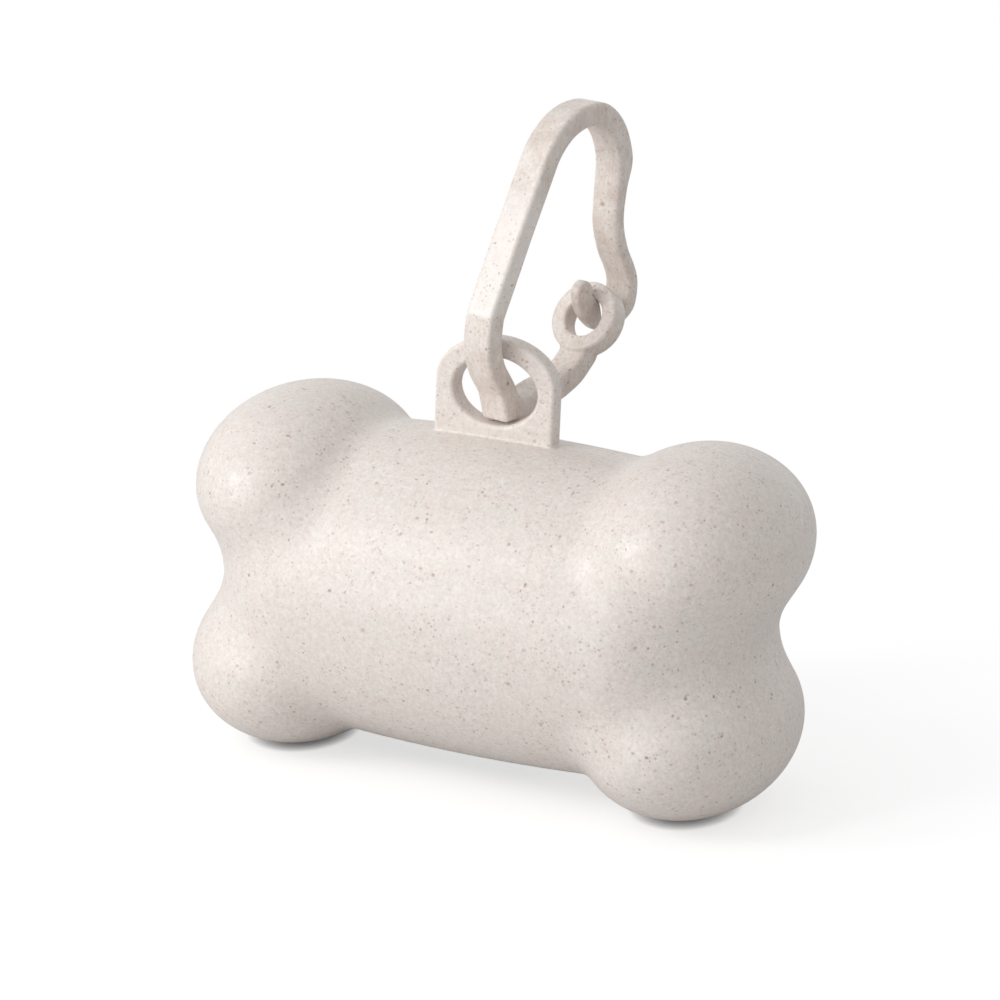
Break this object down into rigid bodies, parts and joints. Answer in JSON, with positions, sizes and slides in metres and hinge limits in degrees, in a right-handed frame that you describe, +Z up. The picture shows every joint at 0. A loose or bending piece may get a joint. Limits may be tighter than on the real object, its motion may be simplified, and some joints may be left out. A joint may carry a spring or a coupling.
{
  "type": "dog waste bag dispenser",
  "caption": "Bone-shaped moulded holder for a roll of pet waste bags, with a pull-off end cap, an outlet underneath and a spring-gate clip through its eyelet.",
  "frame": {"origin": "centre of the eyelet's hole", "axes": "+X along the bone to the removable end cap, +Y to the back, +Z up, away from the two lobes that the bone stands on"},
  "size_m": [0.084, 0.0473, 0.0881],
  "materials": {
    "straw_plastic": "satin moulded plastic with fine straw flecks",
    "card": "plain brown card",
    "bag_film": "thin green film, wound in many turns"
  },
  "bodies": {
    "body": {"body_shell": "straw_plastic"},
    "cap": {"end_cap": "straw_plastic"},
    "clip": {"clip_frame": "straw_plastic"},
    "gate": {"clip_gate": "straw_plastic"},
    "roll": {"roll_core": "card", "bag_roll": "bag_film"}
  },
  "joints": [
    {"name": "cap_pull", "type": "slide", "parent": "body", "child": "cap", "axis": [1, 0, 0], "range_m": [0, 0.03]},
    {"name": "clip_swing", "type": "hinge", "parent": "body", "child": "clip", "pos_m": [0.00007, 0.00029, 0.0055], "axis": [0.9724, -0.2334, 0], "range_deg": [-2, 140]},
    {"name": "gate_flex", "type": "hinge", "parent": "clip", "child": "gate", "pos_m": [0.00568, 0.02178, 0.02175], "axis": [0.9724, -0.2334, 0], "range_deg": [0, 26], "stiffness_Nm_per_rad": 0.03},
    {"name": "roll_spin", "type": "hinge", "parent": "body", "child": "roll", "pos_m": [0.0013, 0, -0.02954], "axis": [1, 0, 0], "continuous": true}
  ]
}
